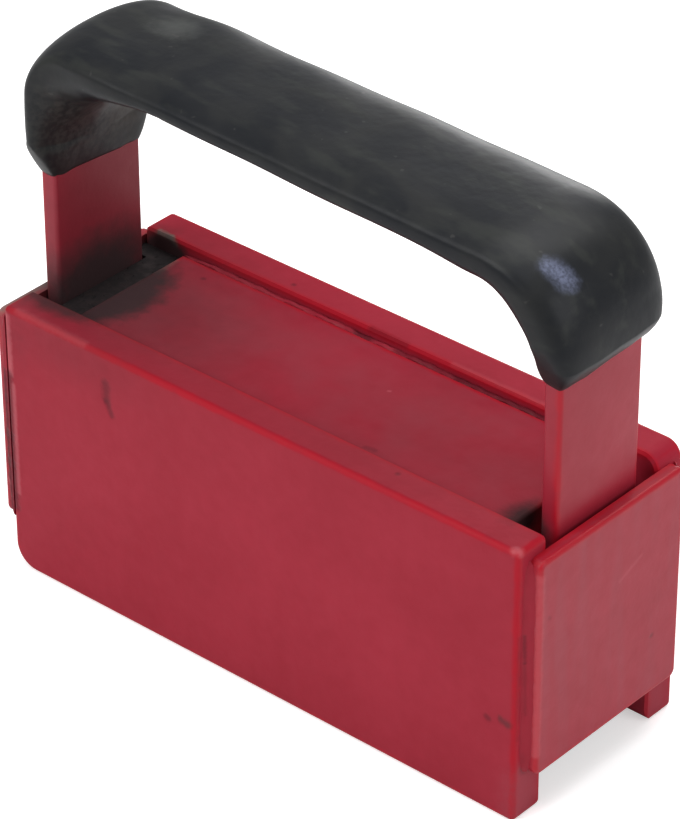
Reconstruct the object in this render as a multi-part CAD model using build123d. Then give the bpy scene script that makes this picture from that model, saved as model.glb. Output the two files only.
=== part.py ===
from build123d import *
import os

# Handle magnet: a block magnet for lifting and holding steel, with a fixed strap handle.
# Two steel pole plates stand on either side of a stack of ceramic blocks. A thin end plate
# closes each end, a spacer bar fills the space above the blocks, and a strap bent into a U
# goes down into a slot at each end. A dipped vinyl coat covers the strap's top.
# Frame: origin at the middle of the pole plates' feet, +X along the plates, +Z up,
# and the front pole plate on the -Y side. All sizes are in millimetres.

# Pole plates
plate_length = 101.6
plate_height = 47.8
plate_thickness = 6.35
pole_gap = 25.4
plate_outer_edge_radius = 0.9
plate_inner_edge_chamfer = 0.4
plate_corner_radius = 0.9
worn_lower_corner_radius = 4.2
worn_upper_corner_radius = 2.8
foot_inner_edge_radius = 2.2

# End plates
end_plate_width = 33.4
end_plate_height = 37.6
end_plate_thickness = 2.1
end_plate_corner_radius = 1.4
end_plate_edge_radius = 0.7
left_end_plate_drop = 1.5
right_end_plate_drop = 2.2
left_end_plate_shift = -1.8
right_end_plate_shift = 0.1

# Ceramic blocks: two layers between the plates, two blocks in the length
block_recess = 7.0
block_joint = 0.1
block_edge_chamfer = 0.6

# Spacer bar above the blocks, with a slot for a leg at each of its ends
spacer_height = 13.9
spacer_recess = 1.5
left_slot_width = 8.8
right_slot_width = 6.8
spacer_front_clearance = 0.1
spacer_rear_clearance = 0.7
spacer_edge_radius = 0.5

# Resin under the blocks and in the slots round the handle's legs
base_resin_depth = 0.8
base_resin_inset = 0.8
left_slot_resin_height = 12.4
right_slot_resin_height = 8.6

# Strap handle: the left leg stands against its end plate, the right leg stands clear of its own.
# The bar's rise is its middle's height above the pole plates' top, measured over each leg.
strap_width = 19.05
strap_thickness = 3.175
strap_edge_chamfer = 0.5
right_leg_clearance = 0.9
leg_foot_clearance = 0.6
left_bar_rise = 41.8
right_bar_rise = 38.6
left_bend_radius = 6.8
right_bend_radius = 12.5

# Dipped coat: how far it stands out from each side of the strap, and how far above the pole
# plates' top it ends on each leg
coat_top = 1.5
coat_under = 1.4
coat_left = 1.7
coat_right = 3.0
coat_inner = 1.2
coat_side = 3.0
coat_left_rise = 19.4
coat_right_rise = 22.2
coat_edge_radius = 2.7
coat_lip_radius = 2.7
coat_left_outer_radius = 9.0
coat_left_inner_radius = 8.0
coat_right_outer_radius = 14.5
coat_right_inner_radius = 13.0

# Weld beads
end_weld_radius = 0.9
end_weld_end_gap = 1.5
leg_weld_radius = 2.0
leg_weld_length = 6.0
leg_weld_end_gap = 0.8

# Places that follow from the sizes above
half_length = plate_length / 2
half_gap = pole_gap / 2
half_width = half_gap + plate_thickness
spacer_top = plate_height - spacer_recess
block_top = spacer_top - spacer_height
spacer_left = -half_length + left_slot_width
spacer_right = half_length - right_slot_width
left_end_plate_bottom = plate_height - left_end_plate_drop - end_plate_height
right_end_plate_bottom = plate_height - right_end_plate_drop - end_plate_height
left_bar_height = plate_height + left_bar_rise
right_bar_height = plate_height + right_bar_rise
coat_left_end = plate_height + coat_left_rise
coat_right_end = plate_height + coat_right_rise
leg_foot = block_top + leg_foot_clearance
left_leg_outer = -half_length
left_leg_inner = left_leg_outer + strap_thickness
right_leg_outer = half_length - right_leg_clearance
right_leg_inner = right_leg_outer - strap_thickness
left_leg_middle = (left_leg_outer + left_leg_inner) / 2
right_leg_middle = (right_leg_outer + right_leg_inner) / 2
bar_slope = (right_bar_height - left_bar_height) / (right_leg_middle - left_leg_middle)


def box_between(x0, x1, y0, y1, z0, z1):
    """An upright box between two opposite corners."""
    middle = ((x0 + x1) / 2, (y0 + y1) / 2, (z0 + z1) / 2)
    return Pos(*middle) * Box(x1 - x0, y1 - y0, z1 - z0)


def rounded_outline(width, height, radii):
    """A face from (-width/2, 0) to (width/2, height), with a radius for each corner.

    The corners run lower left, lower right, upper right, upper left.
    """
    half = width / 2
    corners = [(-half, 0), (half, 0), (half, height), (-half, height)]
    return make_face(FilletPolyline(*corners, radius=radii, close=True))


def foot_rounding():
    """What is cut from a pole plate along its foot's inner edge to leave it well rounded."""
    radius = foot_inner_edge_radius
    corner = Pos(0, plate_thickness - radius / 2, radius / 2) * Box(plate_length, radius, radius)
    kept = Pos(0, plate_thickness - radius, radius) * Rot(0, 90, 0) * Cylinder(radius, plate_length)
    return corner - kept


def pole_plate(corner_radii):
    """A pole plate standing on z = 0, with its outer face on y = 0 and its inner face behind it."""
    plate = extrude(Plane.XZ * rounded_outline(plate_length, plate_height, corner_radii), -plate_thickness)
    outer_face = plate.faces().sort_by(Axis.Y)[0]
    plate = fillet(outer_face.edges(), plate_outer_edge_radius)
    inner_face = plate.faces().sort_by(Axis.Y)[-1]
    plate = chamfer(inner_face.edges(), plate_inner_edge_chamfer)
    return plate - foot_rounding()


def front_pole_plate():
    """The front plate, worn at its lower left corner."""
    radii = [worn_lower_corner_radius, plate_corner_radius, plate_corner_radius, plate_corner_radius]
    return Pos(0, -half_width, 0) * pole_plate(radii)


def rear_pole_plate():
    """The rear plate, turned to face the other way and worn at its upper corner on the right."""
    radii = [plate_corner_radius, plate_corner_radius, plate_corner_radius, worn_upper_corner_radius]
    return Pos(0, half_width, 0) * Rot(0, 0, 180) * pole_plate(radii)


def end_plate(side, shift, bottom):
    """A thin plate on the pole plates' ends, on the left (side -1) or the right (side 1)."""
    outline = Plane.YZ * rounded_outline(end_plate_width, end_plate_height, [end_plate_corner_radius] * 4)
    plate = extrude(outline, side * end_plate_thickness)
    outer_face = plate.faces().sort_by(Axis.X)[-1 if side > 0 else 0]
    plate = fillet(outer_face.edges(), end_plate_edge_radius)
    return Pos(side * half_length, shift, bottom) * plate


def ceramic_block(side, layer):
    """A block left or right of the middle (side) and in the front or rear layer (layer)."""
    x0, x1 = sorted([side * block_joint / 2, side * half_length])
    y0, y1 = sorted([0, layer * half_gap])
    block = box_between(x0, x1, y0, y1, block_recess, block_top)
    return chamfer(block.edges(), block_edge_chamfer)


def spacer_bar():
    """The bar on top of the blocks, set down between the pole plates and short of the legs."""
    y0 = -half_gap + spacer_front_clearance
    y1 = half_gap - spacer_rear_clearance
    bar = box_between(spacer_left, spacer_right, y0, y1, block_top, spacer_top)
    top_face = bar.faces().sort_by(Axis.Z)[-1]
    return fillet(top_face.edges(), spacer_edge_radius)


def base_resin():
    """The resin that closes the blocks' underside."""
    reach = half_length - base_resin_inset
    return box_between(-reach, reach, -half_gap, half_gap, block_recess - base_resin_depth, block_recess)


def handle_strap():
    """A flat strap with softened edges, swept up one leg, over both bends and down the other."""
    corners = [
        (left_leg_middle, leg_foot),
        (left_leg_middle, left_bar_height),
        (right_leg_middle, right_bar_height),
        (right_leg_middle, leg_foot),
    ]
    path = Plane.XZ * FilletPolyline(*corners, radius=[left_bend_radius, right_bend_radius])
    foot = Plane(origin=(left_leg_middle, 0, leg_foot), x_dir=(0, 1, 0), z_dir=(0, 0, 1))
    rectangle = Rectangle(strap_width, strap_thickness)
    section = foot * chamfer(rectangle.vertices(), strap_edge_chamfer)
    return sweep(section, path=path)


def bar_height_at(x, offset):
    """The height of a line at a given offset from the middle of the handle's sloping bar."""
    return left_bar_height + bar_slope * (x - left_leg_middle) + offset


def lies_on_an_end(shape):
    """Whether an edge or a face of the coat lies level with one of the coat's two ends."""
    box = shape.bounding_box()
    ends = (coat_left_end, coat_right_end)
    return any(abs(box.min.Z - end) < 0.001 and abs(box.max.Z - end) < 0.001 for end in ends)


def handle_grip(strap):
    """The dipped coat: a side outline that bends round the strap, rounded and hollowed for it."""
    top = strap_thickness / 2 + coat_top
    under = -strap_thickness / 2 - coat_under
    outer_left, outer_right = left_leg_outer - coat_left, right_leg_outer + coat_right
    inner_left, inner_right = left_leg_inner + coat_inner, right_leg_inner - coat_inner
    corners = [
        (outer_left, coat_left_end),
        (outer_left, bar_height_at(outer_left, top)),
        (outer_right, bar_height_at(outer_right, top)),
        (outer_right, coat_right_end),
        (inner_right, coat_right_end),
        (inner_right, bar_height_at(inner_right, under)),
        (inner_left, bar_height_at(inner_left, under)),
        (inner_left, coat_left_end),
    ]
    outer_radii = [0, coat_left_outer_radius, coat_right_outer_radius, 0]
    inner_radii = [0, coat_right_inner_radius, coat_left_inner_radius, 0]
    outline = FilletPolyline(*corners, radius=outer_radii + inner_radii, close=True)
    half_coat = strap_width / 2 + coat_side
    coat = extrude(make_face(Plane.XZ * outline), half_coat, both=True)
    side_faces = coat.faces().sort_by(Axis.Y)
    rims = side_faces[0].edges() + side_faces[-1].edges()
    long_edges = [edge for edge in rims if not lies_on_an_end(edge)]
    coat = fillet(long_edges, coat_edge_radius)
    lips = [face for face in coat.faces() if lies_on_an_end(face)]
    coat = fillet([edge for face in lips for edge in face.edges()], coat_lip_radius)
    return coat - strap


def upright_bead(x, y, z0, z1, radius):
    """A straight run of weld metal along Z, before the pieces that it joins are cut from it."""
    return Pos(x, y, (z0 + z1) / 2) * Cylinder(radius, z1 - z0)


def end_weld(side, edge_side, shift, bottom, joined):
    """The bead along one upright edge of an end plate, dressed flush with the pole plate's face."""
    x = side * half_length
    y = shift + edge_side * end_plate_width / 2
    z0 = bottom + end_weld_end_gap
    z1 = bottom + end_plate_height - end_weld_end_gap
    bead = upright_bead(x, y, z0, z1, end_weld_radius)
    reach = half_length + end_plate_thickness
    body = box_between(-reach, reach, -half_width, half_width, 0, plate_height)
    for piece in joined:
        bead = bead - piece
    return bead & body


def leg_pocket(outer, inner):
    """The room that a leg takes up in its slot, from its foot upwards."""
    x0, x1 = sorted([outer, inner])
    return box_between(x0, x1, -strap_width / 2, strap_width / 2, leg_foot, plate_height)


def leg_welds(side, outer, inner):
    """Two fillets in a slot, one along each edge of the leg, joining it to the end plate."""
    z0 = leg_foot + leg_weld_end_gap
    z1 = z0 + leg_weld_length
    slot = slot_space(side, plate_height)
    pocket = leg_pocket(outer, inner)
    beads = []
    for y in (-strap_width / 2, strap_width / 2):
        bead = upright_bead(side * half_length, y, z0, z1, leg_weld_radius)
        beads.append((bead & slot) - pocket)
    return Compound(beads)


def slot_space(side, top):
    """The slot between the spacer bar and an end plate, from the blocks up to a height."""
    x0, x1 = sorted([side * half_length, spacer_right if side > 0 else spacer_left])
    return box_between(x0, x1, -half_gap, half_gap, block_top, top)


def slot_resin(side, outer, inner, height, welds):
    """The resin poured round a leg, over its welds."""
    return slot_space(side, block_top + height) - leg_pocket(outer, inner) - welds


def build():
    """Every piece by its name."""
    plates = {
        "left": (-1, left_end_plate_shift, left_end_plate_bottom),
        "right": (1, right_end_plate_shift, right_end_plate_bottom),
    }
    legs = {
        "left": (-1, left_leg_outer, left_leg_inner, left_slot_resin_height),
        "right": (1, right_leg_outer, right_leg_inner, right_slot_resin_height),
    }
    pieces = {
        "front_pole_plate": front_pole_plate(),
        "rear_pole_plate": rear_pole_plate(),
        "left_end_plate": end_plate(*plates["left"]),
        "right_end_plate": end_plate(*plates["right"]),
        "spacer_bar": spacer_bar(),
        "base_resin": base_resin(),
        "handle_strap": handle_strap(),
    }
    pieces["handle_grip"] = handle_grip(pieces["handle_strap"])
    for layer_name, layer in (("front", -1), ("rear", 1)):
        for side_name, side in (("left", -1), ("right", 1)):
            pieces[f"magnet_{layer_name}_{side_name}"] = ceramic_block(side, layer)
    for side_name, (side, shift, bottom) in plates.items():
        for layer_name, layer in (("front", -1), ("rear", 1)):
            joined = (pieces[f"{layer_name}_pole_plate"], pieces[f"{side_name}_end_plate"])
            pieces[f"{side_name}_{layer_name}_weld"] = end_weld(side, layer, shift, bottom, joined)
    for side_name, (side, outer, inner, resin_height) in legs.items():
        welds = leg_welds(side, outer, inner)
        pieces[f"{side_name}_leg_welds"] = welds
        pieces[f"{side_name}_slot_resin"] = slot_resin(side, outer, inner, resin_height, welds)
    return pieces


os.makedirs("parts", exist_ok=True)
for name, shape in build().items():
    export_step(shape, f"parts/{name}.step")
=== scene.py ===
# %% [markdown]
# # A handle magnet, from bare solids to a finished picture
#
# The object is a block magnet for lifting steel. Two thick steel plates stand on either side of
# a stack of magnet blocks, thin plates close the ends, and a flat strap is bent over the top as
# a handle. Everything steel is under red enamel, and the handle's top was dipped in soft vinyl.
# The solids come in as a fixed frame. This lesson adds what a solid modeller leaves out: the
# finish of each surface, and the few shapes that are soft, lumpy or worn.

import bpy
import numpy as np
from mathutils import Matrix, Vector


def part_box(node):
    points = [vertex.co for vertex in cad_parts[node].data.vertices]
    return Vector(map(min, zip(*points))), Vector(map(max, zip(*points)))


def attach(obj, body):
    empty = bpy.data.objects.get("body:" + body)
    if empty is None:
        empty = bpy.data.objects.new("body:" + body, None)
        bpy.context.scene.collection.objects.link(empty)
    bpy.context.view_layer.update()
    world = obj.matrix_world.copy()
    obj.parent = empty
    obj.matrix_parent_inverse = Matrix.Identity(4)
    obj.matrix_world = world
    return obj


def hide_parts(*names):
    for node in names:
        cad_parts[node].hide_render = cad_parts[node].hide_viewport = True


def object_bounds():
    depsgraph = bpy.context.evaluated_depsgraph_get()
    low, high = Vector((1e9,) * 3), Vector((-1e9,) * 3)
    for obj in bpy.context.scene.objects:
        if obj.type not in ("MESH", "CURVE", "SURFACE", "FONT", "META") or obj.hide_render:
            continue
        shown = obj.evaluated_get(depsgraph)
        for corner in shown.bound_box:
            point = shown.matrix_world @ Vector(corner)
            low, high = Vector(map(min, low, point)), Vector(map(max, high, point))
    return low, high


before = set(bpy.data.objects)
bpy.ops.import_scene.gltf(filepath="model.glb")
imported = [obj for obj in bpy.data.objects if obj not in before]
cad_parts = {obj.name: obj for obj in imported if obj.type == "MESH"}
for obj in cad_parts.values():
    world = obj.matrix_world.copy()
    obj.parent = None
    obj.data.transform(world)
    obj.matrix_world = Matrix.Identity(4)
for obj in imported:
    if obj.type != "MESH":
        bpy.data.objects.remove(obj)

# %% [markdown]
# ## Units and first measurements
#
# Blender works in metres, and a shop drawing of a small tool works in millimetres. All sizes
# below are written in millimetres and turned into metres where a mesh or a lamp is made.

MM = 0.001
cad_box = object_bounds()


def corners(name):
    """The lowest and highest corner of a solid, in millimetres."""
    low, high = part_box(name)
    return np.array(low) / MM, np.array(high) / MM


box_in_mm = [np.round(np.array(corner) / MM, 2).tolist() for corner in cad_box]
print("solids:", len(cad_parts), "box in mm:", box_in_mm)

# %% [markdown]
# ## The camera
#
# The picture was taken from the magnet's front right, about 33 degrees above the table and from
# two thirds of a metre away, so parallel edges close in a little towards the back. A camera is
# four things: a place, a direction, a roll and a lens. The place is given as a direction from
# the object and a distance, because that is how a photographer would say it.

# %% The camera
camera_azimuth, camera_elevation, camera_roll = np.radians([41.167, 32.985, -0.189])
camera_distance = 660.070
aim_right, aim_up = 0.650, 34.472
frame_height_px, focal_length_px = 819, 4252.087
sensor = 36.0


def camera_axes():
    """The picture's right and up, and the way back to the camera, as unit vectors.

    Back is (sin a cos e, -cos a cos e, sin e) for azimuth a and elevation e, right is level, and
    the roll turns right and up about back.
    """
    a, e, r = camera_azimuth, camera_elevation, camera_roll
    back = np.array([np.sin(a) * np.cos(e), -np.cos(a) * np.cos(e), np.sin(e)])
    level = np.array([np.cos(a), np.sin(a), 0.0])
    upright = np.cross(back, level)
    right = np.cos(r) * level + np.sin(r) * upright
    up = np.cos(r) * upright - np.sin(r) * level
    return right, up, back


right, up, back = camera_axes()
eye = aim_right * right + aim_up * up + camera_distance * back
camera = bpy.data.objects.new("camera", bpy.data.cameras.new("camera"))
camera.data.sensor_width = sensor
camera.data.lens = sensor * focal_length_px / frame_height_px
camera.data.clip_start = 0.01
placed = np.column_stack([right, up, back, eye * MM])
camera.matrix_world = Matrix([*placed.tolist(), [0, 0, 0, 1]])
bpy.context.scene.collection.objects.link(camera)
bpy.context.scene.camera = camera
print("camera at", np.round(eye, 1), "mm, lens", round(camera.data.lens, 1), "mm")

# %% [markdown]
# ## Light
#
# A small product is lit softly from all round, with a few larger soft lights to give its faces
# different tones. The world gives the even part. Each lamp's power follows from what it should
# add: a surface of albedo 1 that faces a lamp of power P at distance d shows P / (pi d)^2. The
# rear lamp stands high, away from the direction that the enamel's top faces mirror into the
# camera, because there it would lay a pale haze over the red. The ridge lamp is small and weak,
# and stands low behind the magnet, where the grip's rear ridge mirrors it as a line of light.

# %% World and lamps
world = bpy.data.worlds.new("studio")
bpy.context.scene.world = world
world.use_nodes = True
world.node_tree.nodes["Background"].inputs["Color"].default_value = (1.0, 1.0, 1.0, 1.0)
world.node_tree.nodes["Background"].inputs["Strength"].default_value = 0.38


def soft_lamp(name, azimuth, elevation, distance, size, adds):
    """A square lamp of the given size that looks at the magnet and adds this much brightness."""
    a, e = np.radians([azimuth, elevation])
    towards = np.array([np.sin(a) * np.cos(e), -np.cos(a) * np.cos(e), np.sin(e)])
    lamp = bpy.data.objects.new(name, bpy.data.lights.new(name, "AREA"))
    lamp.data.shape = "SQUARE"
    lamp.data.size = size * MM
    lamp.data.energy = adds * (np.pi * distance * MM) ** 2
    lamp.location = Vector(towards * distance * MM) + Vector((0, 0, 0.04))
    lamp.rotation_euler = Vector(-towards).to_track_quat("-Z", "Y").to_euler()
    bpy.context.scene.collection.objects.link(lamp)
    print(name, "adds", adds, "with", round(lamp.data.energy, 2), "W")


soft_lamp("overhead_lamp", 0, 80, 700, 600, 0.42)
soft_lamp("rear_lamp", 185, 62, 700, 420, 0.36)
soft_lamp("key_lamp", -20, 35, 800, 420, 0.39)
soft_lamp("side_lamp", 100, 25, 700, 420, 0.255)
soft_lamp("ridge_lamp", 207, 12, 700, 180, 0.14)

# %% [markdown]
# ## A short way to write materials
#
# Every finish here is a network of nodes, and most of its steps are the same few: a noise of a
# given size, a soft threshold, a mix of two colours. One small class holds a material and offers
# those steps, so that a finish reads as a recipe. All patterns use the object's own coordinates,
# which every piece of this magnet shares, so a mark sits at one place in the whole object.

# %% Steps of a material
def paint_chart(red, green, blue):
    """A colour from 0 to 255, as a paint chart gives it, turned into linear light."""
    c = np.array([red, green, blue]) / 255
    linear = np.where(c <= 0.04045, c / 12.92, ((c + 0.055) / 1.055) ** 2.4)
    return (*linear.tolist(), 1.0)


class Finish:
    """One material's node tree, with a short call for each kind of step."""

    def __init__(self, name):
        self.material = bpy.data.materials.new(name)
        self.material.use_nodes = True
        self.tree = self.material.node_tree
        self.tree.nodes.clear()
        where = self.add("ShaderNodeTexCoord", output="Object")
        self.place = self.vector("MULTIPLY", where, (1 / MM,) * 3)

    def add(self, kind, values=(), output=0, **settings):
        """Adds a node with its settings and its inputs, by order or by name, and returns an output."""
        node = self.tree.nodes.new(kind)
        for name, value in settings.items():
            setattr(node, name, value)
        for name, value in values.items() if isinstance(values, dict) else enumerate(values):
            if isinstance(value, bpy.types.NodeSocket):
                self.tree.links.new(value, node.inputs[name])
            else:
                node.inputs[name].default_value = value
        return None if output is None else node.outputs[output]

    def number(self, operation, a, b):
        """One step of arithmetic on two numbers."""
        return self.add("ShaderNodeMath", [a, b], operation=operation)

    def vector(self, operation, *values, output=0):
        """One step of arithmetic on vectors."""
        return self.add("ShaderNodeVectorMath", values, output, operation=operation)

    def sum(self, first, *rest):
        """Adds numbers."""
        for part in rest:
            first = self.number("ADD", first, part)
        return first

    def times(self, a, b):
        """Multiplies two numbers."""
        return self.number("MULTIPLY", a, b)

    def lesser(self, a, b):
        """The smaller of two numbers."""
        return self.number("MINIMUM", a, b)

    def greater(self, first, *rest):
        """The largest of some numbers."""
        for part in rest:
            first = self.number("MAXIMUM", first, part)
        return first

    def fade(self, value, start, end, low=0.0, high=1.0):
        """A smooth step: low before start, high after end."""
        values = {"Value": value, "From Min": start, "From Max": end, "To Min": low, "To Max": high}
        return self.add("ShaderNodeMapRange", values, interpolation_type="SMOOTHSTEP")

    def noise(self, size, seed=0.0, detail=2.0, stretch=(1, 1, 1), warp=0.0):
        """Noise from 0 to 1 with lumps of about size millimetres, longer where stretch is over 1.

        The seed moves the pattern far off along each axis, so that two noises never match.
        """
        scale = tuple(1 / s for s in stretch)
        shift = (seed * 31.7, seed * 17.3, seed * 7.9)
        moved = self.add("ShaderNodeMapping", {"Vector": self.place, "Location": shift, "Scale": scale})
        values = {"Vector": moved, "Scale": 1 / size, "Detail": detail, "Distortion": warp}
        return self.add("ShaderNodeTexNoise", values)

    def spot(self, centre, radii, edge, ragged, amount):
        """A soft patch: 1 inside the ellipsoid and 0 outside it, with its rim moved by a noise.

        The distance from the centre is measured in radii, so the rim lies at 1. Edge is how far
        the patch fades to each side of it, and amount is how far the ragged noise moves it.
        """
        offset = self.vector("SUBTRACT", self.place, centre)
        shrunk = self.vector("MULTIPLY", offset, tuple(1 / r for r in radii))
        far = self.vector("LENGTH", shrunk, output="Value")
        far = self.sum(far, self.times(self.sum(ragged, -0.5), amount))
        return self.fade(far, 1 - edge, 1 + edge, 1.0, 0.0)

    def stroke(self, start, end, width, ragged):
        """A soft line: 1 near the straight run from start to end and 0 farther off than its width.

        The nearest point of the run lies a share t along it, where t is the offset from the start
        projected on the run and kept between 0 and 1.
        """
        run = np.array(end, float) - np.array(start, float)
        offset = self.vector("SUBTRACT", self.place, start)
        share = self.vector("DOT_PRODUCT", offset, tuple(run / max(run @ run, 1e-6)), output="Value")
        share = self.lesser(self.greater(share, 0.0), 1.0)
        nearest = self.add("ShaderNodeVectorMath", {0: tuple(run), 3: share}, operation="SCALE")
        gap = self.vector("DISTANCE", offset, nearest, output="Value")
        gap = self.sum(gap, self.times(self.sum(ragged, -0.5), 0.8 * width))
        return self.fade(gap, 0.1 * width, 1.4 * width, 1.0, 0.0)

    def mix(self, amount, first, second):
        """A colour between two others. In a Mix node they are inputs 6 and 7 and output 2."""
        values = {"Factor": amount, 6: first, 7: second}
        return self.add("ShaderNodeMix", values, output=2, data_type="RGBA")

    def done(self, colour, roughness, height, specular=0.5):
        """The shader: height is the relief in millimetres, and specular scales the mirror part."""
        bump = self.add("ShaderNodeBump", {"Strength": 1.0, "Distance": MM, "Height": height})
        values = {"Base Color": colour, "Roughness": roughness, "Normal": bump}
        values["Specular IOR Level"] = specular
        shader = self.add("ShaderNodeBsdfPrincipled", values)
        self.add("ShaderNodeOutputMaterial", {"Surface": shader}, output=None)
        return self.material


print("steps of a finish:", [step for step in vars(Finish) if not step.startswith("_")])

# %% [markdown]
# ## The table
#
# The magnet stands on a plain white sheet. The sheet keeps the soft shadow, and it is lifted to
# pure white only where the camera looks at it, so a reflection meets it as the plain sheet it is.
# It lets a camera that looks from below see through it.

# %% The white sheet
def white_sheet():
    """A matt white floor that reads as pure white and can be looked through from below."""
    sheet = Finish("white_sheet")
    paper = sheet.mix(sheet.noise(40.0), (0.86, 0.86, 0.86, 1), (0.9, 0.9, 0.9, 1))
    matt = sheet.add("ShaderNodeBsdfDiffuse", {"Color": paper})
    path = sheet.tree.nodes.new("ShaderNodeLightPath")
    seen = path.outputs["Is Camera Ray"]
    glow = sheet.add("ShaderNodeEmission", {"Strength": sheet.times(seen, 0.5)})
    lit = sheet.add("ShaderNodeAddShader", [matt, glow])
    below = sheet.add("ShaderNodeNewGeometry", output="Backfacing")
    clear = sheet.add("ShaderNodeBsdfTransparent")
    surface = sheet.add("ShaderNodeMixShader", [sheet.times(below, seen), lit, clear])
    sheet.add("ShaderNodeOutputMaterial", {"Surface": surface}, output=None)
    return sheet.material


floor_reach = 3.0  # metres from the middle to each side
floor_corners = [(floor_reach * x, floor_reach * y, 0) for x, y in ((-1, -1), (1, -1), (1, 1), (-1, 1))]
floor_mesh = bpy.data.meshes.new("table")
floor_mesh.from_pydata(floor_corners, [], [(0, 1, 2, 3)])
floor = bpy.data.objects.new("table", floor_mesh)
floor.data.materials.append(white_sheet())
bpy.context.scene.collection.objects.link(floor)
print("table:", 2 * floor_reach, "m each way")

# %% [markdown]
# ## Red enamel
#
# The body was sprayed after it was welded. Sprayed enamel is never one flat red: the film is a
# little thicker here and thinner there, its surface has the fine waves that painters call orange
# peel, and handling dulls it. Along every edge the red is painted brighter and deeper, a painted
# highlight where the rounded edges catch the light. The paler pinkish film on the end plates is
# partly dust and partly a painted sheen. The left foot of the handle is dusted with soot that
# settled before the coat was dipped, and the dark recesses round both legs and a patch up the left
# leg are painted shade. One recipe is used on every painted piece. Each piece gives it its own box,
# so that the recipe knows where that piece's edges are, and a list of its marks: those that use has
# left on it and a few painted highlights.

# %% Enamel
enamel_red = paint_chart(162, 41, 58)
enamel_deep = paint_chart(150, 33, 49)
# painted highlight: the brighter, deeper red laid along the rounded edges
enamel_edge_highlight = paint_chart(172, 18, 36)
# paler pinkish film: real dust, and also painted sheen and painted light
enamel_dust_and_sheen = paint_chart(146, 66, 76)
# black for soot and smudges, and for painted shade in recesses
soot_and_shade_black = paint_chart(47, 43, 44)
dark_mark = paint_chart(92, 22, 34)
# pale tint: for real scratches and specks, and for painted highlights on rounded edges
pale_scratch_and_highlight = paint_chart(196, 104, 112)
bare_grey = paint_chart(132, 122, 114)


def edge_distance(finish, low, high):
    """How far a point of a box-shaped piece is from the nearest edge of its box.

    Each pair of faces is some distance away. On a face one of the three distances is zero, and
    on an edge two are, so the middle one of the three is the distance to the nearest edge.
    """
    middle, half = (low + high) / 2, (high - low) / 2
    offset = finish.vector("SUBTRACT", finish.place, tuple(middle))
    depth = finish.vector("SUBTRACT", tuple(half), finish.vector("ABSOLUTE", offset))
    split = finish.tree.nodes.new("ShaderNodeSeparateXYZ")
    finish.tree.links.new(depth, split.inputs[0])
    x, y, z = split.outputs
    return finish.greater(finish.lesser(x, y), finish.lesser(finish.greater(x, y), z))


# Where soot lies, and where shade is painted dark in recesses and on the leg: the patch's centre
# and radii in mm, how soft and how ragged its rim is, and how black it is. All but the last patch
# are round the handle's left foot.
soot_and_shade_patches = [
    ((-48.0, -1.5, 44.8), (6.0, 14.0, 10.0), 0.60, 0.35, 1.0),  # the leg's foot
    # painted shade higher up the leg, under the coat
    ((-49.0, 3.0, 56.0), (6.0, 16.0, 17.0), 0.40, 0.30, 0.3),  # a shade higher up the leg
    ((-43.2, -3.2, 46.0), (9.4, 12.5, 5.0), 0.40, 0.50, 1.0),  # the spacer's end
    ((-43.5, -10.0, 46.6), (6.5, 3.6, 2.6), 0.50, 0.50, 1.0),  # the spacer's front corner
    ((-38.0, -3.0, 46.0), (18.0, 15.0, 6.0), 0.85, 0.40, 0.5),  # dust farther along the spacer
    # painted shade in the dark recess behind the leg
    ((-46.5, 12.0, 44.6), (5.4, 3.0, 3.6), 0.35, 0.40, 1.0),  # the recess behind the leg
    ((-45.0, -12.6, 48.0), (9.5, 3.4, 1.6), 0.60, 0.60, 0.9),  # the front plate's top
    # painted shade in the dark pocket at the right leg
    ((44.6, -9.6, 45.4), (3.4, 4.4, 2.6), 0.60, 0.60, 1.0),  # the pocket at the right leg
]


def soot_and_shade(finish, ragged):
    """How black a point is, from the sooty patches and the patches of painted shade: the blackest of all
    the patches there.
    """
    patches = []
    for centre, radii, edge, amount, strength in soot_and_shade_patches:
        patches.append(finish.times(finish.spot(centre, radii, edge, ragged, amount), strength))
    return finish.greater(*patches)


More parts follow.
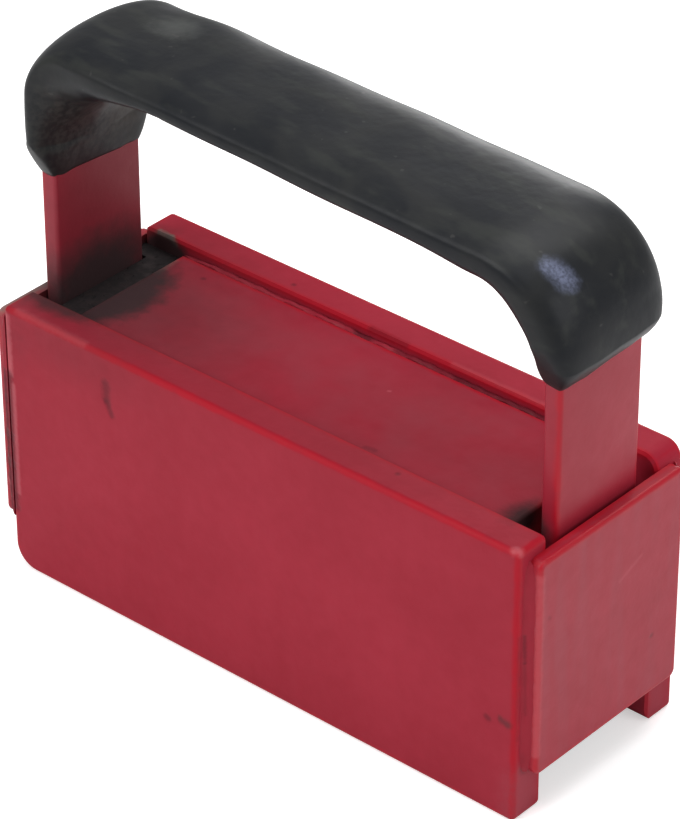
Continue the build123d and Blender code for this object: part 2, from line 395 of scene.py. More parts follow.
def enamel(name, low, high, rough=0.42, haze=0.12, tone=0.0, dust=0.0, streaks=0.0, marks=()):
    """Sprayed red enamel for a piece with this box: its tone, orange peel, painted edge highlight,
    marks, sooty patches and painted shade.

    Rough is its mean roughness, haze the specular level, tone how far it leans to the deeper red,
    dust how much paler dust lies on it, streaks how much paler film lies in upright runs, partly
    paint runs and partly a painted sheen, and marks the list of its scratches and painted highlights.
    """
    f = Finish(name)
    clouds = f.noise(22.0, seed=1, detail=3)
    mottle = f.noise(2.6, seed=2, detail=3)
    grain = f.noise(0.35, seed=3, detail=1)
    amount = f.sum(f.times(clouds, 0.9), f.times(mottle, 0.5), tone - 0.2)
    colour = f.mix(f.fade(amount, 0.15, 0.85), enamel_red, enamel_deep)
    # Paler pinkish upright runs: partly real paint runs and partly a painted sheen on the end plates.
    runs = f.noise(3.4, seed=8, detail=2, stretch=(1, 1, 9))
    colour = f.mix(f.times(f.fade(runs, 0.4, 0.75), streaks), colour, enamel_dust_and_sheen)
    colour = f.mix(f.times(f.fade(f.noise(9.0, seed=9, detail=4), 0.2, 0.8), dust), colour, enamel_dust_and_sheen)
    # Painted highlight: near each edge the red is painted brighter and deeper, as where rounded edges
    # catch the light.
    edge = edge_distance(f, low, high)
    edge_highlight = f.sum(edge, f.times(f.sum(mottle, -0.5), 1.0))
    colour = f.mix(f.fade(edge_highlight, 0.25, 1.3, 0.85, 0.0), colour, enamel_edge_highlight)
    roughness = f.sum(f.times(mottle, 0.16), rough - 0.08)
    peel = f.times(f.noise(1.1, seed=4, detail=1), 0.022)
    height = f.sum(peel, f.times(f.noise(7.0, seed=5, detail=1), 0.06), f.times(grain, 0.002))
    rag = f.noise(0.7, seed=7, detail=2)
    for start, end, width, tint, strength, depth in marks:
        line = f.times(f.stroke(start, end, width, rag), strength)
        colour = f.mix(line, colour, tint)
        height = f.sum(height, f.times(line, -depth))
    # Soot, and painted shade in the recesses round the legs, darken the red towards black.
    black = soot_and_shade(f, f.noise(2.2, seed=6, detail=4))
    colour = f.mix(f.times(black, 0.94), colour, soot_and_shade_black)
    roughness = f.sum(roughness, f.times(black, 0.3))
    height = f.sum(height, f.times(f.times(black, grain), 0.03))
    return f.done(colour, roughness, height, specular=haze)


def put_on(name, material):
    """Gives a solid one material for all of its faces."""
    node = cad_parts[name]
    node.data.materials.clear()
    node.data.materials.append(material)


print("enamel red in linear light:", np.round(enamel_red, 3).tolist())

# %% [markdown]
# ## Marks of use, and painted highlights
#
# A mark is a short soft line: where it starts and ends, how wide it is, its tint, how strong the
# tint is and how deep the paint is scored. A mark whose ends meet is a speck. They are placed one
# by one, in the magnet's own millimetres, and there are few, because each one catches the eye.
# A few pale lines are painted highlights on rounded edges and corners, and two pale pinkish patches are
# painted light on the feet under the right end plate.

# %% The painted solids
front_face = corners("front_pole_plate")[0][1]
plate_top = corners("front_pole_plate")[1][2]
spacer_top = corners("spacer_bar")[1][2]
right_face = corners("right_end_plate")[1][0]
left_face, left_plate_top = corners("left_end_plate")[0][0], corners("left_end_plate")[1][2]

front_marks = [
    ((-29.3, front_face, 42.6), (-29.2, front_face, 39.6), 1.0, dark_mark, 0.60, 0.04),
    ((-29.2, front_face, 39.6), (-28.2, front_face, 37.4), 0.7, dark_mark, 0.60, 0.04),
    ((45.6, front_face, 16.9), (45.9, front_face, 16.8), 0.7, dark_mark, 0.60, 0.03),
    ((48.3, front_face, 17.7), (49.6, front_face, 17.4), 0.8, soot_and_shade_black, 0.55, 0.03),
    ((50.7, front_face + 1.9, 9.0), (50.8, front_face + 2.2, 8.5), 0.8, dark_mark, 0.60, 0.03),
    # painted light: the front foot under the right end plate is painted paler and pinker
    ((50.8, -16.6, 1.5), (50.8, -16.6, 6.5), 3.6, enamel_dust_and_sheen, 0.50, 0.00),
    ((50.5, front_face + 0.8, 33.0), (50.4, front_face + 0.8, 15.0), 0.5, dark_mark, 0.35, 0.03),
    ((24.8, -14.7, plate_top), (24.9, -14.7, plate_top), 0.5, dark_mark, 0.60, 0.03),
    # painted highlight on the front plate's top right corner
    ((49.6, -18.4, plate_top - 0.3), (50.2, -18.2, plate_top - 0.3), 0.8, pale_scratch_and_highlight, 0.55, 0.00),
    # painted highlight down the upper part of the front plate's rounded left edge
    ((-50.0, -18.9, plate_top - 1.5), (-49.8, front_face, 36.0), 0.7, pale_scratch_and_highlight, 0.55, 0.03),
    ((-50.4, -18.9, 35.5), (-50.3, -18.9, 11.0), 1.1, dark_mark, 0.85, 0.12),
    ((-50.3, front_face, 24.4), (-50.3, front_face, 23.7), 0.6, dark_mark, 0.80, 0.15),
    ((-50.3, front_face, 19.3), (-50.3, front_face, 18.5), 0.6, dark_mark, 0.80, 0.15),
    # painted highlight along the front plate's rounded left edge, beside the groove
    ((-49.3, front_face, 34.0), (-49.3, front_face, 14.0), 0.5, pale_scratch_and_highlight, 0.40, 0.00),
    ((-48.0, -18.5, plate_top), (-34.0, -18.6, plate_top), 0.9, pale_scratch_and_highlight, 0.25, 0.00),
]
rear_marks = [
    ((-21.2, 14.7, plate_top), (-21.1, 14.7, plate_top), 0.5, dark_mark, 0.65, 0.03),
    ((-47.9, 12.9, plate_top), (-45.6, 12.9, plate_top - 0.1), 0.8, bare_grey, 0.85, 0.05),
    ((-45.6, 12.9, plate_top - 0.1), (-44.4, 12.7, plate_top - 0.9), 0.7, bare_grey, 0.75, 0.05),
    ((12.0, 13.3, plate_top), (40.0, 13.5, plate_top), 0.6, pale_scratch_and_highlight, 0.15, 0.00),
    # painted light: the rear foot under the right end plate is painted paler and pinker
    ((50.8, 15.0, 1.5), (50.8, 15.0, 6.5), 3.6, enamel_dust_and_sheen, 0.50, 0.00),
    ((-4.0, 13.0, plate_top - 0.2), (3.0, 13.0, plate_top - 0.3), 0.7, dark_mark, 0.45, 0.06),
]
spacer_marks = [
    ((-34.7, 8.7, spacer_top), (-34.6, 8.7, spacer_top), 0.5, dark_mark, 0.60, 0.03),
    ((15.4, -10.7, spacer_top), (16.9, -10.5, spacer_top), 0.6, dark_mark, 0.40, 0.03),
    ((-42.0, 9.8, spacer_top - 0.2), (-41.4, 5.5, spacer_top - 0.1), 0.9, bare_grey, 0.50, 0.02),
    ((8.0, 3.0, spacer_top), (8.2, 3.1, spacer_top), 0.3, pale_scratch_and_highlight, 0.50, 0.00),
    ((-41.0, -12.0, spacer_top), (43.0, -12.0, spacer_top), 0.7, dark_mark, 0.45, 0.00),
]
right_marks = [
    ((right_face, 10.2, 18.8), (right_face, 10.3, 18.8), 0.5, dark_mark, 0.55, 0.03),
    ((right_face, -14.5, 35.5), (right_face, -14.2, 35.2), 0.4, dark_mark, 0.30, 0.03),
    ((right_face, 2.0, 33.0), (right_face, 7.0, 35.0), 0.4, pale_scratch_and_highlight, 0.15, 0.00),
    # painted highlight along the end plate's rounded front edge
    ((right_face - 0.4, -16.2, 43.0), (right_face - 0.3, -16.3, 12.0), 0.8, pale_scratch_and_highlight, 0.30, 0.00),
]
rubbed, groove = left_face + 0.5, left_face + 1.6
left_marks = [
    ((rubbed, -18.2, left_plate_top), (rubbed, -7.5, left_plate_top), 1.2, bare_grey, 0.75, 0.04),
    ((groove, -18.5, 36.0), (groove, -18.5, 10.0), 0.7, dark_mark, 0.75, 0.08),
    ((groove, -18.5, 24.4), (groove, -18.5, 23.6), 0.9, soot_and_shade_black, 0.80, 0.10),
    ((groove, -18.5, 19.4), (groove, -18.5, 18.4), 0.9, soot_and_shade_black, 0.80, 0.10),
    ((groove - 0.4, -18.5, 15.2), (groove - 0.4, -18.5, 14.9), 0.5, pale_scratch_and_highlight, 0.80, 0.00),
]
end_plate_film = {"rough": 0.38, "haze": 0.27, "streaks": 0.3}
painted = {
    "front_pole_plate": (front_marks, {}),
    "rear_pole_plate": (rear_marks, {"haze": 0.05}),
    "spacer_bar": (spacer_marks, {"rough": 0.5, "haze": 0.05, "dust": 0.4}),
    "left_end_plate": (left_marks, end_plate_film),
    "right_end_plate": (right_marks, end_plate_film),
}
for name, (marks, film) in painted.items():
    put_on(name, enamel(name + "_enamel", *corners(name), marks=marks, **film))
    print(name, "enamel with", len(marks), "marks")

# %% [markdown]
# ## The line of the handle
#
# The handle is one flat strap. Seen from the front it goes up the left leg, round a tight bend,
# down a gently sloping bar, round a wider bend and down the right leg. Both the strap and the
# coat follow this line, so it is worked out once: straight runs and two arcs, with the outward
# direction at each point. The left leg was welded a third of a millimetre nearer the front.

# %% The handle's line
strap_width, strap_thickness, strap_rounding = 18.7, 3.175, 0.72
leg_foot = corners("handle_strap")[0][2]
left_leg_outer, right_leg_outer = corners("handle_strap")[0][0], corners("handle_strap")[1][0]
left_bar_height, right_bar_height = 89.5, 86.35
left_bend, right_bend = 6.8, 12.45
left_leg_forward = 0.34


def handle_line(left_end, right_end, steps=(40, 40, 90, 50, 40)):
    """Points along the strap's middle line from one end height to the other, and the outward side.

    The legs are upright, the bar is straight between its two heights, and each bend is an arc
    that touches both. Steps gives the number of points on each leg, bend and on the bar.
    """
    left, right = left_leg_outer + strap_thickness / 2, right_leg_outer - strap_thickness / 2
    slope = np.arctan2(right_bar_height - left_bar_height, right - left)
    reach = np.tan(slope), 1 / np.cos(slope)
    left_centre = np.array([left + left_bend, left_bar_height + left_bend * (reach[0] - reach[1])])
    right_centre = np.array([right - right_bend, right_bar_height - right_bend * (reach[0] + reach[1])])
    crown = np.pi / 2 + slope
    u = [np.linspace(0, 1, n + 1)[:-1, None] for n in steps]
    u[-1] = np.linspace(0, 1, steps[-1])[:, None]

    def side(angle):
        return np.hstack([np.cos(angle), np.sin(angle)])

    left_turn, right_turn = side(np.pi + (crown - np.pi) * u[1]), side(crown - crown * u[3])
    over = side(np.array([[crown]]))
    bar_start, bar_end = left_centre + left_bend * over, right_centre + right_bend * over
    points = [
        np.hstack([left + 0 * u[0], left_end + (left_centre[1] - left_end) * u[0]]),
        left_centre + left_bend * left_turn,
        bar_start + (bar_end - bar_start) * u[2],
        right_centre + right_bend * right_turn,
        np.hstack([right + 0 * u[4], right_centre[1] + (right_end - right_centre[1]) * u[4]]),
    ]
    sides = [side(np.pi + 0 * u[0]), left_turn, over + 0 * u[2], right_turn, side(0 * u[4])]
    return np.vstack(points), np.vstack(sides)


def carry(points, sides, across, out):
    """Carries a section along the line: across runs along Y, and out along the outward side."""
    x = points[:, None, 0] + sides[:, None, 0] * out
    z = points[:, None, 1] + sides[:, None, 1] * out
    share = (points[:, None, 0] - left_leg_outer) / (right_leg_outer - left_leg_outer)
    return np.stack([x, across - left_leg_forward * (1 - share) + 0 * x, z], axis=-1)


print("handle line:", [len(a) for a in handle_line(66, 70)], "points")

# %% [markdown]
# ## Skins
#
# A new piece starts as a grid of points. The rows follow one parameter and the columns another,
# and each cell of the grid becomes a face. A grid that closes on itself across its columns is a
# tube, and one that also closes along its rows is a ring or a hollow coat. The enclosed volume
# comes out negative if the faces point inwards, and then they are turned round.

# %% A mesh from a grid
def skin(name, grid, material, closed_rows=False, replaces=()):
    """A closed mesh over a grid of points in millimetres: a tube with capped ends, or a ring of rows."""
    rows, columns = grid.shape[:2]
    points = grid.reshape(-1, 3)
    down = np.arange(rows if closed_rows else rows - 1)[:, None]
    here = np.arange(columns)[None, :]
    below, beside = (down + 1) % rows, (here + 1) % columns
    this_row, next_row = down * columns, below * columns
    loop = [this_row + here, this_row + beside, next_row + beside, next_row + here]
    quads = np.stack(loop, -1).reshape(-1, 4)
    faces = quads.tolist()
    if not closed_rows:
        points = np.vstack([points, grid[0].mean(0), grid[-1].mean(0)])
        ring = np.arange(columns)
        following = np.roll(ring, -1)
        last_row = (rows - 1) * columns
        start_centre = np.full(columns, rows * columns)
        faces += np.stack([following, ring, start_centre], 1).tolist()
        faces += np.stack([last_row + ring, last_row + following, start_centre + 1], 1).tolist()
    a, b, c, d = (points[quads[:, i]] for i in range(4))
    volume = np.einsum("ij,ij->i", a, np.cross(b, c) + np.cross(c, d)).sum() / 6
    if volume < 0:
        faces = [face[::-1] for face in faces]
    mesh = bpy.data.meshes.new(name)
    mesh.from_pydata((points * MM).tolist(), [], faces)
    mesh.polygons.foreach_set("use_smooth", np.ones(len(faces), bool))
    mesh.update()
    piece = bpy.data.objects.new(name, mesh)
    piece.data.materials.append(material)
    bpy.context.scene.collection.objects.link(piece)
    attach(piece, "root")
    if replaces:
        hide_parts(*replaces)
    print(name, len(points), "points,", len(faces), "faces, about", round(abs(volume) / 1000, 3), "cm3")


def lumps(u, v, seed, waves=7):
    """A smooth unevenness between about -1 and 1 over two parameters.

    It is a sum of sine waves whose directions and phases come from a seeded generator. V is an
    angle round the piece, so each wave goes round it a whole number of times.
    """
    random = np.random.default_rng(seed)
    total = np.zeros(np.broadcast(u, v).shape)
    for _ in range(waves):
        along_u, round_v = random.uniform(0.5, 2.2), random.integers(-2, 3)
        total += np.sin(along_u * u + round_v * v + random.uniform(0, 2 * np.pi))
    return total / np.sqrt(waves)


def swell(distance, length, power):
    """How far a form has swollen at a distance from its end: (1 - (1 - d/l)^q)^(1/q), then 1."""
    rest = np.clip(1 - distance / length, 0, 1)
    return (1 - rest**power) ** (1 / power)


# %% [markdown]
# ## The strap
#
# The strap is cold-rolled flat bar with softly rounded corners. It could be swept as a curve,
# but a section carried along the line in one array operation keeps every row square to the line,
# and the rounding stays the same through both bends.

# %% The strap
def rounded_bar(width, thickness, rounding, per_corner=7):
    """The outline of a bar's section: four straight sides joined by quarter circles."""
    turn = np.linspace(0, np.pi / 2, per_corner)
    across, out = [], []
    for quarter, (side_y, side_n) in enumerate([(1, 1), (-1, 1), (-1, -1), (1, -1)]):
        angle = turn + quarter * np.pi / 2
        across.append(side_y * (width / 2 - rounding) + rounding * np.cos(angle))
        out.append(side_n * (thickness / 2 - rounding) + rounding * np.sin(angle))
    return np.concatenate(across), np.concatenate(out)


strap_waver = 0.002  # how much narrower and wider it is along the way, as a share of its width


def strap_grid():
    """The strap's section carried from foot to foot, a little narrower and wider along the way."""
    points, sides = handle_line(leg_foot, leg_foot)
    across, out = rounded_bar(strap_width, strap_thickness, strap_rounding)
    waver = 1 + strap_waver * lumps(np.linspace(0, 20, len(points))[:, None], 0.0, seed=3)
    return carry(points, sides, across[None, :] * waver, out[None, :])


strap_low, strap_high = corners("handle_strap")
strap_enamel = enamel("strap_enamel", strap_low, strap_high, rough=0.38, haze=0.27)
skin("strap", strap_grid(), strap_enamel, replaces=["handle_strap"])

# %% [markdown]
# ## The dipped coat
#
# The handle was heated and dipped in liquid vinyl, which set into a thick soft skin. Liquid
# vinyl runs before it sets: it gathers in soft lumps, most of all round the tighter bend, and it
# ends in a lip that isn't quite level. A section of the skin is a superellipse,
# |y/a|^p + |n/b|^p = 1, whose half-sizes a and b and whose power p change along the handle. The
# outside runs from one lip to the other and the inside comes back along the strap, so the skin
# is hollow, as the real one is.

# %% Vinyl
vinyl_black, vinyl_worn = paint_chart(24, 26, 30), paint_chart(34, 35, 36)
hand_film, pale_rub = paint_chart(50, 52, 49), paint_chart(80, 82, 80)
scraped_blue, tan_stain = paint_chart(106, 112, 136), paint_chart(74, 56, 42)
corner_dust_and_light, speck_grey = paint_chart(72, 70, 67), paint_chart(90, 88, 86)


def vinyl():
    """Soft black vinyl: mottled where hands polished it, finely pitted, with pale scuffs, dust, and
    painted light in the shaded inner corner of the left bend.
    """
    f = Finish("dipped_vinyl")
    clouds = f.noise(9.0, seed=11, detail=3, warp=0.6)
    streaks = f.noise(3.0, seed=12, detail=4, stretch=(3, 1, 1))
    fine = f.noise(0.45, seed=13, detail=2)
    colour = f.mix(f.fade(clouds, 0.35, 0.7), vinyl_black, vinyl_worn)
    colour = f.mix(f.times(f.fade(streaks, 0.5, 0.72), 0.45), colour, hand_film)
    rag = f.noise(1.3, seed=14, detail=5)
    scuff = f.stroke((46.2, -7.6, 88.2), (47.8, -6.4, 85.2), 1.9, rag)
    colour = f.mix(f.times(scuff, f.fade(fine, 0.3, 0.7, 0.45, 0.95)), colour, scraped_blue)
    blotch = f.spot((-35.1, 4.7, 92.2), (3.6, 3.0, 2.0), 0.7, rag, 1.2)
    colour = f.mix(f.times(blotch, 0.5), colour, pale_rub)
    stain = f.spot((-46.2, 5.5, 73.3), (3.0, 4.0, 3.0), 0.7, rag, 1.2)
    colour = f.mix(f.times(stain, 0.25), colour, tan_stain)
    # Painted light and dust: the shaded inner corner of the left bend is painted a paler grey, with dust
    # specks in it.
    lit_dusty_corner = f.spot((-44.0, -3.0, 77.0), (7.0, 12.0, 9.0), 0.6, rag, 0.6)
    powder = f.times(lit_dusty_corner, f.fade(f.noise(0.9, seed=17, detail=3), 0.35, 0.65, 0.1, 0.55))
    colour = f.mix(powder, colour, corner_dust_and_light)
    specks = f.fade(f.noise(1.6, seed=16, detail=1), 0.74, 0.8)
    colour = f.mix(f.times(specks, 0.2), colour, speck_grey)
    roughness = f.sum(0.31, f.times(clouds, 0.13), f.times(scuff, 0.1))
    waves = f.times(f.noise(2.2, seed=15, detail=1), 0.05)
    height = f.sum(f.times(fine, 0.008), waves, f.times(clouds, 0.08))
    return f.done(colour, roughness, height, specular=0.18)


coat_vinyl = vinyl()
print("vinyl:", len(coat_vinyl.node_tree.nodes), "nodes")

# %% [markdown]
# ## The coat's shape
#
# The skin stands out from the strap by different amounts on top, underneath and at its edges, on
# each leg and along the bar. One row of numbers says that for each side, and one function blends
# a row along the handle, so that nothing changes in steps. Swells are added to it as bell curves,
# and a few sine waves make the vinyl's slow unevenness. In the left bend's inside corner the
# vinyl gathered in a web, and there the inner side follows a quarter of an ellipse instead.

# %% Numbers of the coat
lip_film = 0.02  # at the lips the skin still stands this far out from the strap
lining = 0.01  # and its inside is this far from it, all the way
coat_ends = {"left": 67.15, "right": 69.99}
coat_limit = {"x": 52.9, "z": float(corners("handle_grip")[1][2])}

# Each row, in mm: the left leg, the bar's left and right end, the right leg, and what the left
# and the right bend add. The last row is the power of the section's superellipse.
stands_out = (1.42, 1.27, 1.88, 2.88, 0.62, 0.85)
stands_in = (0.85, 0.85, 1.60, 0.84, 0.0, 2.18)
stands_aside = (3.45, 3.15, 3.35, 3.21, 0.0, 0.0)
squareness = (2.15, 2.90, 2.90, 3.50, -0.45, -0.40)
strap_squareness, least_squareness = 9.0, 1.95


def along(points, sides, left, bar_left, bar_right, right, left_bend, right_bend):
    """Blends a value along the handle: left leg, bar from end to end, right leg and two bends.

    For an outward side (x, z), a leg counts x squared, the bar z squared, and a bend (2xz) squared.
    """
    x, z = sides[:, 0], sides[:, 1]
    share = np.clip((points[:, 0] + 44) / 82, 0, 1)
    legs = np.where(x < 0, left, right) * x**2
    bar = (bar_left + (bar_right - bar_left) * share) * z**2
    return legs + bar + (2 * x * z) ** 2 * np.where(x < 0, left_bend, right_bend)


def bell(value, middle, width):
    """A bell curve: exp(-((v - m) / w)^2)."""
    return np.exp(-(((value - middle) / width) ** 2))


def kept_under(value, limit, softness=0.05):
    """A smooth version of the smaller of two numbers: l - s log(1 + exp((l - v)/s))."""
    return limit - softness * np.logaddexp(0, (limit - value) / softness)


def oval(half_y, half_n, power, cos, sin):
    """Points of a superellipse: a sign(c)|c|^(2/p) across and b sign(s)|s|^(2/p) outwards."""
    across = half_y * np.sign(cos) * np.abs(cos) ** (2 / power)
    return across, half_n * np.sign(sin) * np.abs(sin) ** (2 / power)


def tilt_lips(grid, above=80.0, fades_over=11.0):
    """Moves the skin up or down near its two lips, so that they end as uneven as poured vinyl.

    The move is a slope across the strap with small sine waves on it, and it fades out upwards.
    """
    x, y, z = grid[..., 0], grid[..., 1], grid[..., 2]
    near = np.clip((above - z) / fades_over, 0, 1)
    near = near**2 * (3 - 2 * near)
    across, past_leg = y / (strap_width / 2), x - 48.3
    left = -0.3 - 0.6 * across + 0.14 * np.sin(1.1 * y + 1.0) + 0.10 * np.sin(1.7 * x)
    right = 0.2 + 0.3 * across - 0.12 * past_leg + 0.12 * np.sin(0.9 * y + 2.0)
    grid[..., 2] = z + near * np.where(x < 0, left, right)
    return grid


def web_of_left_bend(points, travel, depth, reach=(24.0, 16.0)):
    """Where the web in the left bend's inside corner lies, and how far a point is along it.

    The web is a quarter of an ellipse between the leg's inner side and the bar's underside. Reach
    is its two half-sizes, from the corner along the bar and down the leg, and its angle grows
    with the way travelled. How far along is sin(2 angle): 0 at both ends and 1 in the middle.
    """
    slope = np.arctan2(right_bar_height - left_bar_height, right_leg_outer - left_leg_outer)
    below = left_bar_height - depth / np.cos(slope)
    corner_x = left_leg_outer + strap_thickness / 2 + depth
    corner = np.array([corner_x, below + np.tan(slope) * (corner_x - left_leg_outer)])
    start = corner[1] - reach[1] - coat_ends["left"]
    on_bar = (points[:, 0] > corner_x + reach[0]) & (travel < travel[-1] / 2)
    stop = travel[on_bar][0]
    angle = np.clip((travel - start) / (stop - start), 0, 1)[:, None] * np.pi / 2
    along_bar, down_leg = np.array([np.cos(slope), np.sin(slope)]), np.array([0, -1])
    web = corner + along_bar * reach[0] * (1 - np.cos(angle)) + down_leg * reach[1] * (1 - np.sin(angle))
    inside = (travel > start) & (travel < stop)
    return web, inside, np.sin(2 * angle[:, 0])


# %% The coat
def coat_grid(columns=112):
    """The outside of the coat from lip to lip, then its inside back along the strap.

    On a row, crown is the point farthest inwards. The outward half of the section reaches from
    the strap's middle line to bulge_out, and the inward half reaches to the crown.
    """
    points, sides = handle_line(coat_ends["left"], coat_ends["right"], steps=(64, 56, 130, 64, 60))
    step = np.hypot(*np.diff(points, axis=0).T)
    travel = np.concatenate([[0], np.cumsum(step)])
    rest = travel[-1] - travel
    outer = swell(travel, 6.4, 1.22) * swell(rest, 4.1, 1.22)
    inner = swell(travel, 7.4, 1.36) * swell(rest, 4.0, 1.88)
    edge = swell(travel, 6.5, 1.12) * swell(rest, 7.35, 1.12)
    angle = np.linspace(0, 2 * np.pi, columns, endpoint=False)
    cos, sin = np.cos(angle)[None, :], np.sin(angle)[None, :]
    bulge_out = along(points, sides, *stands_out)
    bulge_out += 0.75 * bell(travel, 7.5, 5.0) - 0.6 * bell(travel, 27.0, 6.0)
    bulge_in = along(points, sides, *stands_in)
    bulge_in += 1.05 * bell(points[:, 0], 36.0, 6.0) * (points[:, 1] > 70)
    side = along(points, sides, *stands_aside)[:, None]
    half = strap_thickness / 2 + lip_film
    crown = points - sides * (half + bulge_in * inner)[:, None]
    web, inside_web, bent = web_of_left_bend(points, travel, half + stands_in[0])
    full = points - sides * (half + bulge_in)[:, None]
    crown = np.where(inside_web[:, None], crown + web - full, crown)
    power = along(points, sides, *squareness)[:, None]
    rounder_left = 0.45 / (1.0 + np.exp((points[:, 0] + 2.0) / 8.0))
    inward_power = power + (0.5 * bent * inside_web - rounder_left)[:, None]
    power = np.where(sin > 0, power, np.maximum(inward_power, least_squareness))
    power = power * edge[:, None] + strap_squareness * (1 - edge[:, None])
    unrest = 0.07 + 0.16 * bell(travel, 26.0, 16.0)
    pooled = (unrest * edge)[:, None] * lumps(travel[:, None] / 6.0, angle[None, :], seed=5)
    half_y = strap_width / 2 + lip_film + side * edge[:, None] + 0.6 * pooled
    across, share = oval(half_y, 1.0, power, cos, sin)
    outwards = sides[:, None, :] * (half + (bulge_out * outer)[:, None] + pooled)[..., None]
    inwards = (points - crown)[:, None, :] + sides[:, None, :] * pooled[..., None]
    offset = np.where(sin[..., None] > 0, outwards, inwards) * share[..., None]
    outside = carry(points, sides, across, 0 * across)
    outside[..., [0, 2]] += offset
    outside[..., 0] = -kept_under(-kept_under(outside[..., 0], coat_limit["x"]), coat_limit["x"])
    outside[..., 2] = kept_under(outside[..., 2], coat_limit["z"])
    bore_sizes = strap_width / 2 + lining, strap_thickness / 2 + lining
    inside = carry(points, sides, *oval(*bore_sizes, strap_squareness, cos, sin))
    return tilt_lips(np.vstack([outside, inside[::-3]]))


skin("dipped_coat", coat_grid(), coat_vinyl, closed_rows=True, replaces=["handle_grip"])

# %% [markdown]
# ## Weld beads and the paint in the seam
#
# The end plates are welded to the pole plates down their upright edges. A hand-laid bead fills
# the corner as a row of overlapping drops, so its width ripples a little and it thins out at both
# ends. Paint ran into the seam between the spacer and the rear plate and dried there as a ragged
# string. A curve with a bevel could draw such a line, but only with one section all the way. Here
# all five are a section carried along a straight line: a flat fillet for the beads and a round
# one for the string, with its size changing from row to row.

# %% Beads
lump_length = 1.8


def bead_grid(start, end, radius, shape, ripple, pitch, uneven, seed, rows=160):
    """A bead from start to end, whose section shape gives: its reach, and its plane's two axes.

    The size is the radius times 1 - k + k |sin(pi s / pitch)| for a ripple k at s mm from the
    start, times some lumps, and it runs out at both ends as sqrt(1 - (2t - 1)^8) for a share t.
    """
    start, end = np.array(start, float), np.array(end, float)
    share = np.linspace(0, 1, rows)[:, None]
    length = np.linalg.norm(end - start)
    reach, first, second = shape
    angle = np.linspace(0, 2 * np.pi, len(reach), endpoint=False)[None, :]
    drops = 1 - ripple + ripple * np.abs(np.sin(np.pi * share * length / pitch + 0.9 * np.sin(angle)))
    lumpy = 1 + uneven * lumps(share * length / lump_length, angle, seed)
    run_out = np.sqrt(np.clip(1 - (2 * share - 1) ** 8, 0.004, 1))
    size = (radius * drops * lumpy * run_out * reach)[..., None]
    around = np.cos(angle)[..., None] * first + np.sin(angle)[..., None] * second
    return start + (end - start) * share[..., None] + size * around


def corner_reach(open_angle, columns=48):
    """A flat fillet across the open quarter of a corner, and little inside the plates behind it.

    The reach is 1 / cos(d) for an angle d from the middle of the open quarter, which draws a
    straight line. It goes on to 55 degrees, just under the plates, and then drops quickly.
    """
    angle = np.linspace(0, 2 * np.pi, columns, endpoint=False)
    turn = np.abs((angle - open_angle + np.pi) % (2 * np.pi) - np.pi)
    under = np.radians(55)
    fillet = 1 / np.cos(np.minimum(turn, under))
    return np.where(turn <= under, fillet, 0.1 + 1.6 * np.exp(-(turn - under) / 0.16))


east, north, upright = np.eye(3)
left_bead_marks = [
    ((-51.4, -19.0, 35.5), (-51.3, -19.0, 10.0), 1.0, dark_mark, 0.85, 0.12),
    ((-51.4, -19.0, 24.5), (-51.4, -19.0, 23.6), 0.7, dark_mark, 0.85, 0.15),
    ((-51.4, -19.0, 19.4), (-51.3, -19.0, 18.4), 0.7, dark_mark, 0.85, 0.15),
    ((-51.4, -19.0, 31.2), (-51.4, -19.0, 30.6), 0.6, dark_mark, 0.60, 0.10),
    ((-51.8, -18.9, 15.2), (-51.8, -18.9, 14.9), 0.6, pale_scratch_and_highlight, 0.80, 0.00),
    ((-51.8, -18.9, 12.2), (-51.8, -18.9, 11.8), 0.6, pale_scratch_and_highlight, 0.70, 0.00),
]
right_bead_marks = [
    ((51.0, -17.6, 33.0), (51.1, -17.5, 28.4), 0.35, dark_mark, 0.50, 0.10),
    ((51.1, -17.5, 28.4), (51.3, -17.3, 19.0), 0.30, dark_mark, 0.25, 0.06),
    ((51.3, -17.6, 11.6), (51.3, -17.6, 10.6), 0.6, dark_mark, 0.18, 0.03),
]
end_plate_thickness = 2.1
bead_margin = 4.0  # the beads' box is made this much larger, so that no bright edge is drawn on them
bead_limit = 18.98  # and they stay just behind the pole plates' outer faces
bead_film = {"rough": 0.4, "haze": 0.15, "tone": 0.25}
bead_marks = {"left_front_weld": left_bead_marks, "right_front_weld": right_bead_marks}
for end, away in (("left", -1), ("right", 1)):
    plate_low, plate_high = corners(end + "_end_plate")
    x = right_face - end_plate_thickness if end == "right" else left_face + end_plate_thickness
    for edge, outward in (("front", -1), ("rear", 1)):
        name = f"{end}_{edge}_weld"
        low, high = corners(name)
        box = low - bead_margin, high + bead_margin
        finish = enamel(name + "_enamel", *box, marks=bead_marks.get(name, []), **bead_film)
        y = plate_low[1] if edge == "front" else plate_high[1]
        shape = corner_reach(np.arctan2(outward, away)), east, north
        line = (x, y, low[2] - 1.4), (x, y, high[2] + 1.3)
        radius = 0.75 if name == "left_front_weld" else 0.88
        seed = len(name) + outward
        grid = bead_grid(*line, radius, shape, ripple=0.05, pitch=2.6, uneven=0.05, seed=seed)
        grid[..., 1] = np.clip(grid[..., 1], -bead_limit, bead_limit)
        skin(name + "_bead", grid, finish, replaces=[name])

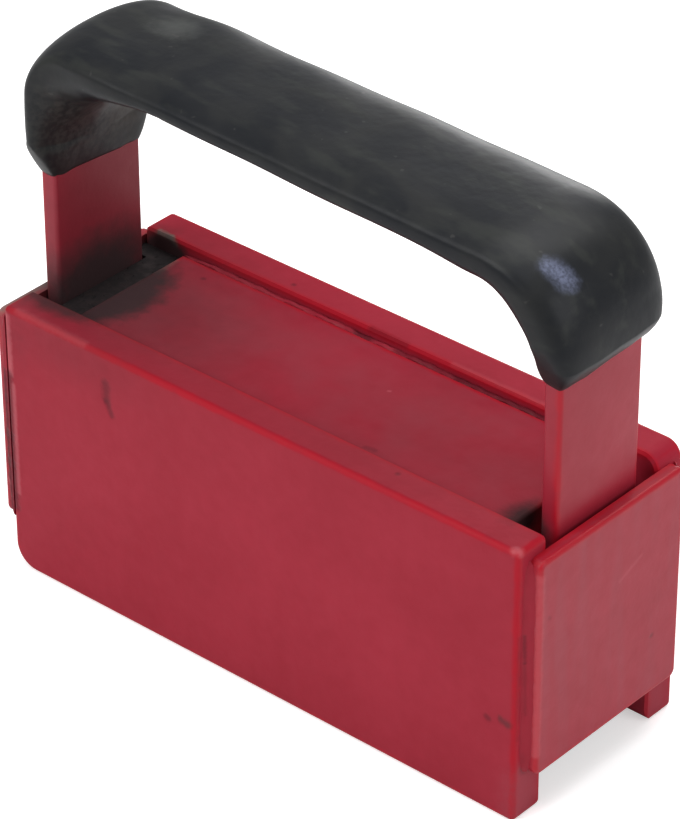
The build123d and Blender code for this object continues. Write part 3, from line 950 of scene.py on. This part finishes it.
# %% The string of paint
seam_y, seam_z = corners("spacer_bar")[1][1] + 0.3, corners("spacer_bar")[1][2] - 0.3
seam_marks = [
    ((-5.8, 12.2, 46.4), (-4.0, 12.1, 46.4), 1.3, dark_mark, 0.90, 0.20),
    ((2.0, 12.1, 46.5), (14.0, 12.1, 46.5), 0.9, dark_mark, 0.60, 0.15),
    ((14.0, 12.2, 46.4), (38.0, 12.2, 46.4), 1.0, dark_mark, 0.85, 0.15),
]
seam_paint = enamel("seam_enamel", *corners("front_pole_plate"), dust=0.2, marks=seam_marks)
seam_line = (-42.0, seam_y, seam_z), (38.0, seam_y, seam_z)
round_section = np.ones(28), north, upright
seam_grid = bead_grid(*seam_line, 0.55, round_section, 0.2, pitch=3.1, uneven=0.22, seed=9, rows=560)
skin("seam_paint", seam_grid, seam_paint)

# %% [markdown]
# ## What lies inside
#
# The magnet blocks, the resin round them and the welds in the handle's slots are hidden from
# most sides, but they are there, and the underside shows them. Their plain shapes are right as
# they come, so the solids stay and only get their finishes: ground ceramic, poured resin and bare
# weld, each from noises at the scale of its own grain.

# %% Ferrite, resin and weld metal
def ferrite():
    """Ground ceramic: dull charcoal with fine lines from the grinding wheel and small chips."""
    f = Finish("ferrite")
    lines = f.noise(0.5, seed=21, stretch=(12, 1, 1))
    chips = f.noise(1.6, seed=22, detail=4)
    colour = f.mix(lines, paint_chart(52, 52, 54), paint_chart(70, 70, 72))
    colour = f.mix(f.fade(chips, 0.66, 0.72), colour, paint_chart(38, 38, 40))
    height = f.sum(f.times(lines, 0.01), f.times(chips, 0.05))
    return f.done(colour, f.sum(0.5, f.times(lines, 0.2)), height, specular=0.4)


def resin(name, dust):
    """Poured black resin: a little wavy, with burst bubbles, and dusted with sooty powder if dust is
    high.
    """
    f = Finish(name)
    waves = f.noise(6.0, seed=23)
    pits = f.noise(1.1, seed=24, detail=0)
    colour = f.mix(f.noise(3.0, seed=25, detail=4), paint_chart(34, 30, 31), paint_chart(56, 46, 46))
    powder = f.times(f.fade(f.noise(1.8, seed=28, detail=5), 0.3, 0.6), dust)
    colour = f.mix(powder, colour, paint_chart(37, 33, 34))
    roughness = f.sum(0.34, f.times(waves, 0.25), f.times(powder, 0.4))
    height = f.sum(f.times(waves, 0.2), f.fade(pits, 0.7, 0.78, 0.0, -0.2), f.times(powder, 0.05))
    return f.done(colour, roughness, height, specular=0.4 - 0.3 * dust)


def weld_metal():
    """Bare weld: ripples across the bead, straw and blue tints, and dark scale."""
    f = Finish("weld_metal")
    ripples = f.noise(0.9, seed=26, stretch=(3, 3, 1))
    scale = f.noise(2.0, seed=27, detail=4)
    colour = f.mix(ripples, paint_chart(120, 112, 104), paint_chart(90, 92, 100))
    colour = f.mix(f.fade(scale, 0.45, 0.6), colour, paint_chart(48, 44, 44))
    return f.done(colour, f.sum(0.35, f.times(scale, 0.3)), f.times(ripples, 0.15), specular=0.6)


block_finish, weld_finish = ferrite(), weld_metal()
inner_finishes = {
    "magnet_front_left": block_finish,
    "magnet_front_right": block_finish,
    "magnet_rear_left": block_finish,
    "magnet_rear_right": block_finish,
    "left_leg_welds": weld_finish,
    "right_leg_welds": weld_finish,
    "base_resin": resin("base_resin_finish", 0.2),
    "left_slot_resin": resin("left_slot_finish", 0.9),
    "right_slot_resin": resin("right_slot_finish", 0.5),
}
for name, material in inner_finishes.items():
    put_on(name, material)
    print(name, "in", material.name)

# %% Finish
bpy.context.scene.view_settings.view_transform = "Standard"
